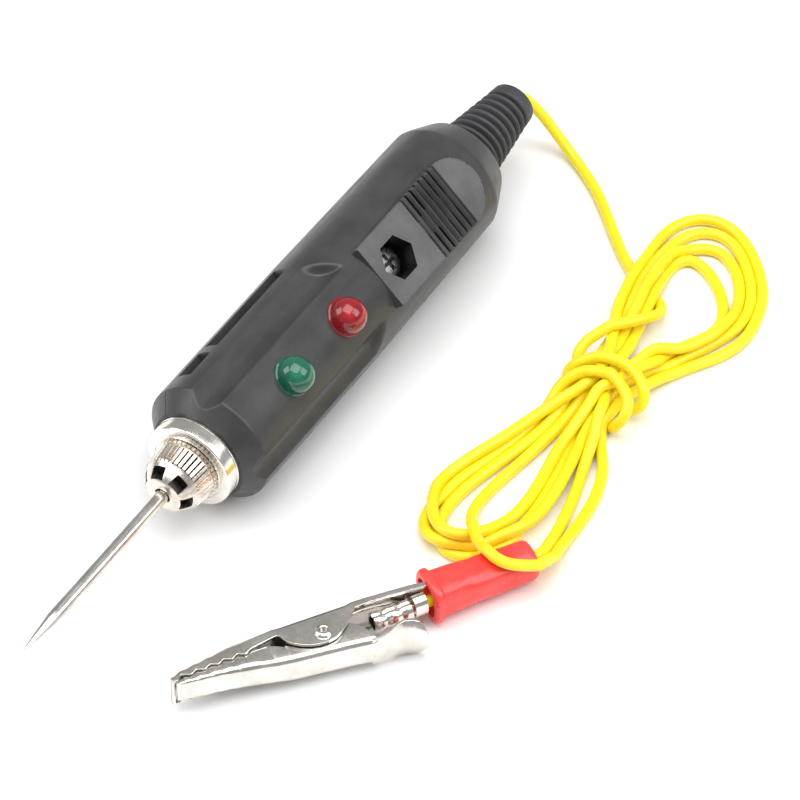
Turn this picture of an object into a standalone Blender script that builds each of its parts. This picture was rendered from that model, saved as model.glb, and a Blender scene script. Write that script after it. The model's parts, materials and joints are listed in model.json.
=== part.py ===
"""Low-voltage circuit tester: a two-lamp probe pen with a ground lead, a tied hank of cord and a crocodile clip.

World frame: metres, +Z up, the surface that everything lies on is Z = 0. +X runs from the needle to the cord end.
Sizes below are millimetres unless a name says otherwise. Pen pieces are drawn along the pen's own axis, with x = 0 at
the rear face of the chrome collar and +Z out of the thumb pad. Clip pieces are drawn from the clip's rivet.
"""

import math

import bmesh
import bpy
from mathutils import Matrix, Vector

MM = 0.001
GAP = 0.3  # left between pieces that touch

# Where things lie
PEN_MIDDLE = 20.0  # half way along the pen, which becomes X = 0
PEN_SIDEWAYS = 0.6  # puts the rolled pen's box in the middle of Y = 0
PEN_ROLL = 43.0  # degrees, thumb pad leaning towards -Y
CLIP_PIVOT = (-35.0, -29.3)
CLIP_HEADING = -31.0  # degrees, from the jaw tips to the boot

# Housing
BARREL_R = 9.25
BARREL_REAR_R = 8.87
NOSE_R = 7.0
TAIL_R = 6.9
CAVITY_R = 7.4
HOUSING_FRONT = 0.15
HOUSING_REAR = 65.8
HOUSING_STEPS = 48
FLUTE_ANGLE = 44.0
FLUTE_R = 3.05
FLUTE_DEPTH = 1.25
FLUTE_START = 1.2
FLUTE_END = 31.6
SLOT_FLOOR_R = 7.9
SLOT_HALF = 2.4
SLOT_SPANS = ((5.6, 10.5), (12.0, 28.7))
PAD_START = 34.9
PAD_END = 59.5
PAD_HALF = 5.0
PAD_TOP = 9.35
RIB_COUNT = 7
RIB_FIRST = 46.6
RIB_PITCH = 1.16
RIB_HALF = 5.3
RIB_RISE = 0.3
SCREW_X = 39.65
HEX_FLATS = 5.5
HEX_FLOOR = 5.3
BOSS_R = 4.3
SCREW_HOLE_R = 1.8

# Front end
COLLAR_FRONT = -2.4
COLLAR_R = 6.5
KNURLS = 40
KNURL_DEPTH = 0.25
NEEDLE_R = 0.95
NEEDLE_TIP = -40.3
NEEDLE_SHOULDER = -33.3
CAP_SLOTS = 6

# Lamps
LAMP_R = 2.5
LAMP_FLANGE_R = 2.9
LAMP_CENTRE = 9.95  # height of the dome's centre
GREEN_X = 13.45
RED_X = 26.35
BOARD_LOW = 2.4
BOARD_TOP = 3.4

# Cord
CORD_R = 0.8
RELIEF_START = 66.1
RELIEF_END = 80.3
RELIEF_RIDGES = 8
HANK_TOP = 5.4
CORD_STEP = 3.2

# Clip
CLIP_MIDDLE = 3.45  # height of the middle of the jaws
SHEET = 0.4
OUTER_HALF = 2.95  # half the height of the cable jaw
INNER_HALF = 2.3  # half the height of the free jaw
TOOTH_PITCH = 1.93
TOOTH_RISE = 0.45
TEETH = 5
TEETH_START = -19.2
BITE = 1.45  # sideways place of the bite line
CRIMP_SIDEWAYS = 0.6
TAIL_HALF = 3.3  # half the height of the thumb tail
BOOT_FRONT = 15.6
BOOT_REAR = 31.3

LEAD_ROUTE = (
    (60.6, 0.0, 9.25),
    (62.5, -0.6, 8.6),
    (63.8, -2.2, 6.2),
    (64.0, -5.0, 3.0),
    (62.8, -8.6, 1.2),
    (61.3, -11.2, 0.85),
    (58.3, -15.4, 0.85),
    (52.7, -21.2, 0.85),
    (49.4, -24.7, 0.85),
    (47.6, -26.6, 0.85),
)
TAIL_ROUTE = (
    (-7.0, -44.1, 3.0),
    (-5.2, -44.7, 2.95),
    (-3.4, -44.9, 2.9),
)
HANK_OUTLINE = (
    (-12.9, -30.2),
    (-9.5, -27.6),
    (-3.0, -25.8),
    (5.0, -27.3),
    (13.0, -29.6),
    (22.0, -30.0),
    (28.0, -29.0),
    (34.0, -30.2),
    (40.0, -29.0),
    (46.0, -28.1),
    (55.0, -27.4),
    (60.2, -29.8),
    (61.9, -34.0),
    (59.8, -39.0),
    (54.0, -44.8),
    (47.0, -48.4),
    (41.0, -48.9),
    (35.0, -46.4),
    (28.0, -43.6),
    (20.0, -43.2),
    (13.5, -43.8),
    (8.0, -46.2),
    (1.0, -47.2),
    (-2.4, -46.6),
    (-2.9, -44.4),
    (-2.9, -41.8),
    (-4.0, -39.2),
    (-7.4, -37.0),
    (-10.8, -35.0),
    (-13.0, -33.0),
)


def clear_scene():
    for item in list(bpy.data.objects):
        bpy.data.objects.remove(item, do_unlink=True)


def paint(name, colour, roughness, metallic=0.0):
    """A plain material."""
    made = bpy.data.materials.new(name)
    made.use_nodes = True
    shader = made.node_tree.nodes["Principled BSDF"]
    shader.inputs["Base Color"].default_value = (*colour, 1.0)
    shader.inputs["Roughness"].default_value = roughness
    shader.inputs["Metallic"].default_value = metallic
    made.diffuse_color = (*colour, 1.0)
    return made


def empty(name, parent=None):
    made = bpy.data.objects.new(name, None)
    made.parent = parent
    bpy.context.collection.objects.link(made)
    return made


def solid(name, form, finish, parent):
    """Turns a bmesh drawn in millimetres into an object."""
    bmesh.ops.scale(form, vec=(MM, MM, MM), verts=form.verts)
    bmesh.ops.recalc_face_normals(form, faces=form.faces)
    mesh = bpy.data.meshes.new(name)
    form.to_mesh(mesh)
    form.free()
    mesh.shade_smooth()
    mesh.set_sharp_from_angle(angle=math.radians(32))
    if finish:
        mesh.materials.append(finish)
    made = bpy.data.objects.new(name, mesh)
    made.parent = parent
    bpy.context.collection.objects.link(made)
    return made


def turned(profile, steps, hollow=True):
    """Spins a profile of (x, radius) about the X axis. A hollow piece's profile is a closed loop."""
    form = bmesh.new()
    points = [form.verts.new((x, 0.0, r)) for x, r in profile]
    ends = points[1:] + points[:1] if hollow else points[1:]
    edges = [form.edges.new(pair) for pair in zip(points, ends)]
    bmesh.ops.spin(
        form,
        geom=points + edges,
        cent=(0, 0, 0),
        axis=(1, 0, 0),
        angle=2 * math.pi,
        steps=steps,
        use_merge=True,
    )
    bmesh.ops.remove_doubles(form, verts=form.verts, dist=1e-4)
    return form


def upright(form, x, y=0.0, z=0.0):
    """Stands a form that was drawn along X up along Z, and moves it."""
    turn = Matrix.Rotation(-math.pi / 2, 4, "Y")
    bmesh.ops.transform(form, matrix=Matrix.Translation((x, y, z)) @ turn, verts=form.verts)
    return form


def moved(form, offset, angle=0.0, axis="X"):
    turn = Matrix.Rotation(math.radians(angle), 4, axis)
    bmesh.ops.transform(form, matrix=turn @ Matrix.Translation(offset), verts=form.verts)
    return form


def prism(outline, low, high):
    form = bmesh.new()
    face = form.faces.new([form.verts.new((x, y, low)) for x, y in outline])
    grown = bmesh.ops.extrude_face_region(form, geom=[face])
    top = [item for item in grown["geom"] if isinstance(item, bmesh.types.BMVert)]
    bmesh.ops.translate(form, verts=top, vec=(0, 0, high - low))
    return form


def block(low, high):
    corners = ((low[0], low[1]), (high[0], low[1]), (high[0], high[1]), (low[0], high[1]))
    return prism(corners, low[2], high[2])


def rod(start, end, radius, steps):
    """A cylinder along X."""
    return turned(((start, 0.0), (start, radius), (end, radius), (end, 0.0)), steps, hollow=False)


def circle(radius, count, start=0.0):
    steps = [start + 2 * math.pi * i / count for i in range(count)]
    return [(radius * math.cos(a), radius * math.sin(a)) for a in steps]


def hexagon(flats):
    """Corners of a hexagon with two of them on the X axis."""
    return circle(flats / math.sqrt(3), 6)


def together(forms):
    """One bmesh of several that stay apart."""
    whole = bmesh.new()
    for form in forms:
        bmesh.ops.recalc_face_normals(form, faces=form.faces)
        part = bpy.data.meshes.new("part")
        form.to_mesh(part)
        form.free()
        whole.from_mesh(part)
        bpy.data.meshes.remove(part)
    return whole


def combine(target, form, operation):
    """Adds a Boolean to the target, with a hidden helper in the target's own frame."""
    number = len(target.modifiers) + 1
    helper = solid(f"{target.name}_helper_{number}", form, None, target.parent)
    helper.hide_render = True
    helper.display_type = "WIRE"
    modifier = target.modifiers.new(f"{operation.lower()}_{number}", "BOOLEAN")
    modifier.operation = operation
    modifier.object = helper
    modifier.solver = "EXACT"


def smooth_route(points, step, closed=False):
    """Points about a step apart along a smooth curve through the given ones."""
    knots = [Vector(point) for point in points]
    if closed:
        knots = [knots[-1], *knots, knots[0], knots[1]]
    else:
        knots = [2 * knots[0] - knots[1], *knots, 2 * knots[-1] - knots[-2]]
    route = []
    for before, start, end, after in zip(knots, knots[1:], knots[2:], knots[3:]):
        pieces = max(1, round((end - start).length / step))
        for i in range(pieces):
            t = i / pieces
            swing = (end - before) * t
            bend = (2 * before - 5 * start + 4 * end - after) * t * t
            close = (3 * start - before - 3 * end + after) * t * t * t
            route.append(start + (swing + bend + close) / 2)
    if not closed:
        route.append(knots[-2])
    return route


def tube(name, points, radius, finish, parent):
    """A cord or wire as a curve with a round bevel and filled caps."""
    curve = bpy.data.curves.new(name, "CURVE")
    curve.dimensions = "3D"
    curve.bevel_depth = radius * MM
    curve.bevel_resolution = 2
    curve.use_fill_caps = True
    spline = curve.splines.new("POLY")
    spline.points.add(len(points) - 1)
    for knot, point in zip(spline.points, points):
        knot.co = (*(Vector(point) * MM), 1.0)
    spline.use_smooth = True
    curve.materials.append(finish)
    made = bpy.data.objects.new(name, curve)
    made.parent = parent
    bpy.context.collection.objects.link(made)
    return made


def barrel():
    """Both halves of the housing in one, hollow, with a smaller opening at each end."""
    profile = (
        (HOUSING_FRONT, 4.7),
        (HOUSING_FRONT, NOSE_R),
        (2.7, BARREL_R),
        (31.0, BARREL_R),
        (61.3, BARREL_REAR_R),
        (HOUSING_REAR, TAIL_R),
        (HOUSING_REAR, 3.9),
        (61.5, 3.9),
        (61.5, 6.6),
        (58.0, CAVITY_R),
        (2.6, CAVITY_R),
        (2.6, 4.7),
    )
    return turned(profile, HOUSING_STEPS)


def flute(angle):
    """A groove with round ends, sunk into the barrel."""
    out = BARREL_R - FLUTE_DEPTH + FLUTE_R
    bend = [math.radians(a) for a in (90, 67.5, 45, 22.5, 0)]
    half_length = 2.6  # of each rounded end, which is a half ellipsoid
    front = [(FLUTE_START + half_length * (1 - math.sin(a)), FLUTE_R * math.cos(a)) for a in bend]
    rear = [(FLUTE_END - half_length * (1 - math.sin(a)), FLUTE_R * math.cos(a)) for a in reversed(bend)]
    return moved(turned(front + rear, 24, hollow=False), (0, 0, out), angle)


def side_slots():
    """Shallow windows on both sides, across the line where the halves meet."""
    forms = []
    for side in (-1, 1):
        near, far = sorted((side * SLOT_FLOOR_R, side * (BARREL_R + 1)))
        for start, end in SLOT_SPANS:
            forms.append(block((start, near, -SLOT_HALF), (end, far, SLOT_HALF)))
    return forms


def upper_shell(pen, plastic):
    shell = solid("upper_shell", barrel(), plastic, pen)
    round_end = [math.radians(90 - 180 * i / 12) for i in range(13)]
    outline = [(PAD_START, -PAD_HALF), (PAD_START, PAD_HALF)]
    outline += [(PAD_END - PAD_HALF * (1 - math.cos(a)), PAD_HALF * math.sin(a)) for a in round_end]
    combine(shell, prism(outline, 6.0, PAD_TOP), "UNION")
    boss = rod(-1.0, 8.0, BOSS_R, 24)
    combine(shell, upright(boss, SCREW_X), "UNION")
    ribs = []
    for i in range(RIB_COUNT):
        x = RIB_FIRST + i * RIB_PITCH
        ribs.append(block((x - 0.28, -RIB_HALF, 7.2), (x + 0.28, RIB_HALF, PAD_TOP + RIB_RISE)))
    combine(shell, together(ribs), "UNION")
    cuts = [flute(-FLUTE_ANGLE), flute(FLUTE_ANGLE), *side_slots()]
    for x in (GREEN_X, RED_X):
        cuts.append(upright(rod(5.0, 12.0, LAMP_R + GAP, 24), x))
    recess = prism(hexagon(HEX_FLATS), HEX_FLOOR, 12.0)
    bmesh.ops.translate(recess, verts=recess.verts, vec=(SCREW_X, 0, 0))
    cuts.append(recess)
    combine(shell, together(cuts), "DIFFERENCE")
    combine(shell, upright(rod(-3.0, 7.0, SCREW_HOLE_R, 16), SCREW_X), "DIFFERENCE")
    combine(shell, block((-5, -20, -20), (75, 20, GAP / 2)), "DIFFERENCE")


def lower_shell(pen, plastic):
    shell = solid("lower_shell", barrel(), plastic, pen)
    combine(shell, upright(rod(-8.0, 1.0, BOSS_R, 24), SCREW_X), "UNION")
    cuts = [flute(180 - FLUTE_ANGLE), flute(180 + FLUTE_ANGLE), *side_slots()]
    pocket = prism(hexagon(HEX_FLATS + 2 * GAP), -12.0, -4.7)
    bmesh.ops.translate(pocket, verts=pocket.verts, vec=(SCREW_X, 0, 0))
    cuts.append(pocket)
    combine(shell, together(cuts), "DIFFERENCE")
    combine(shell, upright(rod(-7.0, 3.0, SCREW_HOLE_R, 16), SCREW_X), "DIFFERENCE")
    combine(shell, block((-5, -20, -GAP / 2), (75, 20, 20)), "DIFFERENCE")


def housing_fasteners(pen, steel):
    """A cross-head screw in the pad's hexagonal recess, and its nut in the lower shell."""
    shank_end = -7.0
    head_low = HEX_FLOOR + GAP
    head_top = head_low + 1.7
    profile = (
        (shank_end, 0.0),
        (shank_end, 1.2),
        (shank_end + 0.4, 1.5),
        (head_low, 1.5),
        (head_low, 2.35),
        (head_top - 0.5, 2.35),
        (head_top, 1.8),
        (head_top, 0.0),
    )
    screw = solid("housing_screw", upright(turned(profile, 20, hollow=False), SCREW_X), steel, pen)
    arms = ((0.95, 0.25), (0.25, 0.95))
    for x, y in arms:
        cross = block((SCREW_X - x, -y, head_top - 0.9), (SCREW_X + x, y, head_top + 1))
        combine(screw, cross, "DIFFERENCE")
    nut = prism(hexagon(HEX_FLATS), -7.4, -5.0)
    bmesh.ops.translate(nut, verts=nut.verts, vec=(SCREW_X, 0, 0))
    nut = solid("housing_nut", nut, steel, pen)
    combine(nut, upright(rod(-9.0, -3.0, SCREW_HOLE_R, 16), SCREW_X), "DIFFERENCE")


def front_collar(pen, chrome):
    rear = HOUSING_FRONT - GAP
    profile = (
        (COLLAR_FRONT, 3.1),
        (COLLAR_FRONT, COLLAR_R - 0.3),
        (COLLAR_FRONT + 0.3, COLLAR_R),
        (rear, COLLAR_R),
        (rear, 4.4),
        (7.0, 4.4),
        (7.0, 3.1),
    )
    solid("front_collar", turned(profile, 40), chrome, pen)


def nose_cap(parent, plated):
    """The knurled clamping cap: two knurled bands, a slotted cone and a small hole for the needle."""
    rear = COLLAR_FRONT - GAP
    knurled = ((rear, 4.7), (-3.1, 4.65), (-3.4, 4.55), (-6.1, 4.25))
    plain = (
        (-6.35, 3.95),
        (-8.3, 2.8),
        (-8.7, 1.9),
        (-8.7, NEEDLE_R + GAP),
        (-7.6, NEEDLE_R + GAP),
        (-6.6, 3.1),
        (rear, 3.1),
    )
    form = turned(knurled + plain, 2 * KNURLS)
    lowest_knurl = 4.1
    for point in form.verts:
        radius = math.hypot(point.co.y, point.co.z)
        step = round(math.atan2(point.co.y, point.co.z) / (math.pi / KNURLS))
        if radius > lowest_knurl and step % 2:
            point.co.y *= 1 - KNURL_DEPTH / radius
            point.co.z *= 1 - KNURL_DEPTH / radius
    cap = solid("nose_cap", form, plated, parent)
    slots = []
    for i in range(CAP_SLOTS):
        slot = block((-9.0, -0.85, 2.85), (-7.05, 0.85, 4.6))
        slots.append(moved(slot, (0, 0, 0), -PEN_ROLL + 39 + 60 * i))
    combine(cap, together(slots), "DIFFERENCE")


def collet(parent, brass):
    """A split sleeve that the cap closes on the needle."""
    profile = ((-6.0, 1.25), (-6.0, 1.9), (-4.8, 2.7), (8.4, 2.7), (8.4, 1.25))
    sleeve = solid("collet", turned(profile, 24), brass, parent)
    for size in ((0.25, 4.0), (4.0, 0.25)):
        cut = block((-7.0, -size[0], -size[1]), (-1.0, size[0], size[1]))
        combine(sleeve, cut, "DIFFERENCE")


def probe_needle(parent, steel):
    profile = (
        (NEEDLE_TIP, 0.0),
        (NEEDLE_TIP, 0.12),
        (NEEDLE_SHOULDER, NEEDLE_R),
        (8.4, NEEDLE_R),
        (8.4, 0.0),
    )
    solid("probe_needle", turned(profile, 20, hollow=False), steel, parent)


def lamp(name, x, plastic, pen):
    """A 5 mm lamp: flange, straight sides and a round top."""
    low = BOARD_TOP + GAP
    profile = [(low, 0.0), (low, LAMP_FLANGE_R), (low + 1.0, LAMP_FLANGE_R), (low + 1.0, LAMP_R)]
    for i in range(6):
        a = math.radians(18 * i)
        profile.append((LAMP_CENTRE + LAMP_R * math.sin(a), LAMP_R * math.cos(a)))
    solid(name, upright(turned(profile, 24, hollow=False), x), plastic, pen)


def insides(pen, finishes):
    board = block((9.3, -4.2, BOARD_LOW), (35.0, 4.2, BOARD_TOP))
    solid("circuit_board", board, finishes["board"], pen)
    for name, start in (("resistor_green", 16.5), ("resistor_red", 27.5)):
        end = start + 6.0
        profile = (
            (start, 0.0),
            (start, 0.9),
            (start + 0.3, 1.1),
            (start + 1.3, 1.1),
            (start + 1.6, 0.95),
            (end - 1.6, 0.95),
            (end - 1.3, 1.1),
            (end - 0.3, 1.1),
            (end, 0.9),
            (end, 0.0),
        )
        form = turned(profile, 12, hollow=False)
        solid(name, moved(form, (0, 0, BOARD_LOW - GAP - 1.1)), finishes["resistor"], pen)
    spring = turned(((8.8, 1.4), (8.8, 2.0), (13.6, 2.0), (13.6, 1.4)), 16)
    solid("contact_spring", spring, finishes["steel"], pen)
    around_boss = (
        (31.0, 3.2, 1.5),
        (33.5, 4.6, 0.9),
        (36.0, 5.7, 0.2),
        (39.65, 5.9, 0.0),
        (43.5, 5.6, 0.0),
        (46.5, 3.2, 0.0),
        (48.6, 0.6, 0.0),
        (50.2, 0.0, 0.0),
    )
    tube("core_wire", around_boss, 0.4, finishes["copper"], pen)
    solid("cord_inner", rod(50.5, RELIEF_END - GAP, CORD_R, 12), finishes["cord"], pen)


def strain_relief(pen, rubber):
    """Rubber sleeve with round ridges, narrowing to a plain ring, and a collar held inside the housing."""
    pitch = (RELIEF_END - 2.2 - RELIEF_START) / RELIEF_RIDGES
    profile = [(58.8, 1.1), (58.8, 5.5), (61.2, 5.5), (61.2, 3.6), (RELIEF_START, 3.6)]
    for i in range(RELIEF_RIDGES):
        start = RELIEF_START + i * pitch
        top = 5.0 - 1.35 * i / RELIEF_RIDGES
        profile += [(start, top - 0.4), (start + 0.25 * pitch, top), (start + 0.75 * pitch, top)]
    profile += [(RELIEF_END - 2.2, 3.3), (RELIEF_END - 1.9, 3.55), (RELIEF_END, 3.4), (RELIEF_END, 1.1)]
    solid("strain_relief", turned(profile, 24), rubber, pen)


def cord(bench, yellow):
    tube("cord_lead", smooth_route(LEAD_ROUTE, CORD_STEP), CORD_R, yellow, bench)
    outline = [(x, y) for x, y, _ in smooth_route([(x, y, 0) for x, y in HANK_OUTLINE], 4.0, closed=True)]
    solid("cord_hank", prism(outline, 0.0, HANK_TOP), yellow, bench)
    tube("cord_tail", smooth_route(TAIL_ROUTE, CORD_STEP), CORD_R, yellow, bench)


def teeth(sign, base):
    """A row of pointed teeth along the bite line, from the tip backwards."""
    points = []
    for i in range(TEETH):
        x = TEETH_START + i * TOOTH_PITCH
        points.append((x, base))
        points.append((x + TOOTH_PITCH / 2, base + sign * TOOTH_RISE))
    points.append((TEETH_START + TEETH * TOOTH_PITCH, base))
    return points


def strip(points, low, high):
    """A bent sheet standing on edge, a sheet's thickness to the right of the points."""
    outer = [Vector(point) for point in points]
    inner = []
    for i, point in enumerate(outer):
        before = outer[max(i - 1, 0)]
        after = outer[min(i + 1, len(outer) - 1)]
        along = (after - before).normalized()
        inner.append(point + Vector((along.y, -along.x)) * SHEET)
    outline = [(p.x, p.y) for p in outer] + [(p.x, p.y) for p in reversed(inner)]
    return prism(outline, low, high)


def cable_jaw(clip, steel):
    """The jaw that the cord is crimped to: a channel with two toothed walls, a round skirt and a crimped barrel."""
    outline = [(-20.9, 1.5), (-19.3, 2.55), (-12.2, 3.7), (-5.1, 3.75), (5.9, 3.3), (13.6, 2.45), (15.2, 2.1)]
    outline += [(15.2, 1.0), (13.1, 1.35), (10.7, 1.6), (5.9, 1.95), (4.2, 0.6), (2.9, -0.5), (1.1, -1.5)]
    outline += [(-1.2, -1.7), (-3.5, -0.75), (-4.8, 0.5), (-5.2, 1.7), (-5.8, 2.2), (-9.2, 2.0)]
    outline += reversed(teeth(-1, BITE + 0.35))
    outline.append((-20.9, 1.0))
    top = CLIP_MIDDLE + OUTER_HALF
    low = CLIP_MIDDLE - OUTER_HALF
    jaw = solid("clip_cable_jaw", prism(outline, top - SHEET, top), steel, clip)
    combine(jaw, prism(outline, low, low + SHEET), "UNION")
    back = ((-20.6, 1.62), (-19.25, 2.48), (-12.2, 3.62), (-5.1, 3.67), (5.9, 3.22), (13.6, 2.37), (15.1, 2.04))
    combine(jaw, strip(back, low + SHEET / 2, top - SHEET / 2), "UNION")
    sleeve = turned(((7.4, 1.05), (7.4, 1.45), (13.0, 1.45), (13.0, 1.05)), 16)
    combine(jaw, moved(sleeve, (0, CRIMP_SIDEWAYS, CLIP_MIDDLE)), "UNION")
    tab = block((8.0, 1.75, CLIP_MIDDLE - 0.5), (12.4, 2.4, CLIP_MIDDLE + 0.5))
    combine(jaw, tab, "UNION")
    combine(jaw, upright(rod(-2.0, 10.0, 1.1, 16), 0.0), "DIFFERENCE")


def free_jaw(pivot, steel):
    """The jaw that opens: a narrower channel inside the other one, with a flared thumb tail behind the rivet."""
    outline = [(-20.5, 0.7), (-14.3, -0.2), (-5.1, -2.15), (2.6, -3.35), (5.8, -4.0), (6.0, -2.6), (5.4, -1.2)]
    outline += [(4.2, 0.2), (2.2, 1.2), (1.3, 1.6), (0.0, 2.0), (-1.3, 1.6), (-3.2, 0.9), (-5.4, 0.5), (-6.6, 1.3)]
    outline += [(-9.0, 1.25)]
    outline += reversed(teeth(1, BITE - 0.85))
    jaw = solid("clip_free_jaw", prism(outline, INNER_HALF - SHEET, INNER_HALF), steel, pivot)
    combine(jaw, prism(outline, -INNER_HALF, SHEET - INNER_HALF), "UNION")
    back = ((9.3, -4.62), (5.7, -3.92), (2.6, -3.27), (-5.1, -2.07), (-14.3, -0.12), (-20.3, 0.76))
    combine(jaw, strip(back, SHEET / 2 - INNER_HALF, INNER_HALF - SHEET / 2), "UNION")
    combine(jaw, strip(((12.6, -5.4), (8.6, -4.5)), -TAIL_HALF, TAIL_HALF), "UNION")
    combine(jaw, upright(rod(-6.0, 6.0, 1.1, 16), 0.0), "DIFFERENCE")


def clip_fittings(clip, finishes):
    """Rivet, spring coil and the end of the cord inside the clip."""
    head = 1.5
    low = 0.08
    top = 2 * CLIP_MIDDLE - low
    profile = (
        (low, 0.0),
        (low, head),
        (low + 0.2, head),
        (low + 0.2, 0.8),
        (top - 0.2, 0.8),
        (top - 0.2, head),
        (top, head * 0.8),
        (top, 0.0),
    )
    solid("clip_rivet", upright(turned(profile, 20, hollow=False), 0.0), finishes["clip_steel"], clip)
    coil = turned(((1.9, 1.1), (1.9, 1.65), (5.0, 1.65), (5.0, 1.1)), 20)
    solid("clip_spring", upright(coil, 0.0), finishes["clip_steel"], clip)
    end = BOOT_REAR - 0.2
    route = (
        (6.4, CRIMP_SIDEWAYS, CLIP_MIDDLE),
        (13.4, CRIMP_SIDEWAYS, CLIP_MIDDLE),
        (17.0, 0.9, 3.4),
        (22.0, 1.4, 3.15),
        (27.0, 1.7, 3.0),
        (end, 1.7, 3.0),
    )
    tube("clip_wire", route, CORD_R, finishes["cord"], clip)


def clip_boot(clip, red):
    """Soft sleeve of rounded square section, with a rim in front and a small hole behind."""
    front = (1.55, 3.5)
    rear = (1.7, 3.0)
    stations = (
        (BOOT_FRONT, 2.5, 0.0),
        (BOOT_FRONT, 3.4, 0.0),
        (BOOT_FRONT + 1.3, 3.4, 0.0),
        (BOOT_FRONT + 1.7, 3.05, 0.1),
        (23.5, 2.95, 0.5),
        (BOOT_REAR - 0.5, 2.75, 1.0),
        (BOOT_REAR, 2.4, 1.0),
        (BOOT_REAR, 1.1, 1.0),
        (27.5, 1.1, 1.0),
        (25.0, 2.1, 0.6),
    )
    sides = 16
    form = bmesh.new()
    rings = []
    for x, radius, share in stations:
        middle_y = front[0] + (rear[0] - front[0]) * share
        middle_z = front[1] + (rear[1] - front[1]) * share
        ring = []
        for y, z in circle(radius, sides, math.pi / sides):
            ring.append(form.verts.new((x, middle_y + y, middle_z + z)))
        rings.append(ring)
    for near, far in zip(rings, rings[1:] + rings[:1]):
        for i in range(sides):
            j = (i + 1) % sides
            form.faces.new((near[i], near[j], far[j], far[i]))
    solid("clip_boot", form, red, clip)


def main():
    clear_scene()
    finishes = {
        "plastic": paint("black_plastic", (0.018, 0.019, 0.022), 0.38),
        "rubber": paint("black_rubber", (0.02, 0.02, 0.022), 0.6),
        "chrome": paint("bright_chrome", (0.75, 0.75, 0.77), 0.12, 1.0),
        "plated": paint("nickel_plate", (0.62, 0.6, 0.57), 0.25, 1.0),
        "steel": paint("plated_steel", (0.58, 0.58, 0.6), 0.28, 1.0),
        "clip_steel": paint("clip_steel", (0.6, 0.6, 0.61), 0.3, 1.0),
        "brass": paint("brass", (0.7, 0.52, 0.25), 0.3, 1.0),
        "copper": paint("copper", (0.8, 0.42, 0.26), 0.35, 1.0),
        "green": paint("green_lens", (0.02, 0.22, 0.09), 0.15),
        "red": paint("red_lens", (0.4, 0.01, 0.02), 0.15),
        "cord": paint("yellow_pvc", (0.9, 0.8, 0.03), 0.35),
        "boot": paint("red_pvc", (0.85, 0.07, 0.05), 0.3),
        "board": paint("board_laminate", (0.03, 0.16, 0.07), 0.5),
        "resistor": paint("resistor_body", (0.55, 0.42, 0.25), 0.45),
    }
    bench = empty("bench")
    bench.location = (0.0, PEN_SIDEWAYS * MM, 0.0)
    pen = empty("pen_axis", bench)
    pen.location = (-PEN_MIDDLE * MM, 0.0, BARREL_R * MM)
    pen.rotation_euler = (math.radians(PEN_ROLL), 0.0, 0.0)
    clip = empty("clip_place", bench)
    clip.location = (CLIP_PIVOT[0] * MM, CLIP_PIVOT[1] * MM, 0.0)
    clip.rotation_euler = (0.0, 0.0, math.radians(CLIP_HEADING))
    pivot = empty("clip_pivot", clip)
    pivot.location = (0.0, 0.0, CLIP_MIDDLE * MM)

    upper_shell(pen, finishes["plastic"])
    lower_shell(pen, finishes["plastic"])
    housing_fasteners(pen, finishes["steel"])
    front_collar(pen, finishes["chrome"])
    nose_cap(pen, finishes["plated"])
    collet(pen, finishes["brass"])
    probe_needle(pen, finishes["steel"])
    lamp("led_green", GREEN_X, finishes["green"], pen)
    lamp("led_red", RED_X, finishes["red"], pen)
    insides(pen, finishes)
    strain_relief(pen, finishes["rubber"])
    cord(bench, finishes["cord"])
    cable_jaw(clip, finishes["clip_steel"])
    free_jaw(pivot, finishes["clip_steel"])
    clip_fittings(clip, finishes)
    clip_boot(clip, finishes["boot"])


main()
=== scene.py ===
"""Looks of a low-voltage circuit tester: a probe pen with two lamps, a cord in a hank and a crocodile clip.

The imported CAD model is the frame, in metres, with Z = 0 as the surface that everything lies on. Sizes below
are millimetres. Pen pieces are drawn along the pen's own axis, with x = 0 near the rear face of the chrome
collar and +Z out of the thumb pad. An angle around that axis counts from the pad. Clip pieces are drawn from
the clip's rivet.
"""

import json
import math

import bmesh
import bpy
import numpy as np
from mathutils import Euler, Matrix, Vector


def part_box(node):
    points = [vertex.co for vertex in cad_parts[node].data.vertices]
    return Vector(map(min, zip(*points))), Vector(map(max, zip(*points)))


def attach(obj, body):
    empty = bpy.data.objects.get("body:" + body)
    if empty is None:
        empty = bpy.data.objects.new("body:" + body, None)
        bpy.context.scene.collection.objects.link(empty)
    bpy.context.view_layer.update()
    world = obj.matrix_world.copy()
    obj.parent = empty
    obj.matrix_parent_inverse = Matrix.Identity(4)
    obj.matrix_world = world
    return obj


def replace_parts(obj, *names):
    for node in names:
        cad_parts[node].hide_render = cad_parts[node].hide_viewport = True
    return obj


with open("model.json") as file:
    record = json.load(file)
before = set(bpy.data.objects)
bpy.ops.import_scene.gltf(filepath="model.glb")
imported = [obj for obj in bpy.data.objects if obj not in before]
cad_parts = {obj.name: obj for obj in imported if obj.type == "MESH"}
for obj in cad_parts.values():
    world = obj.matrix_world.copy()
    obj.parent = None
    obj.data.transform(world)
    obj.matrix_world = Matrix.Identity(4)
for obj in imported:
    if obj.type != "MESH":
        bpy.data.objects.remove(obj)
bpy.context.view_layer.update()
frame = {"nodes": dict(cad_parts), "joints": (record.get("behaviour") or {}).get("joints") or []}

MM = 0.001
SHARP = math.radians(32)

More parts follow.
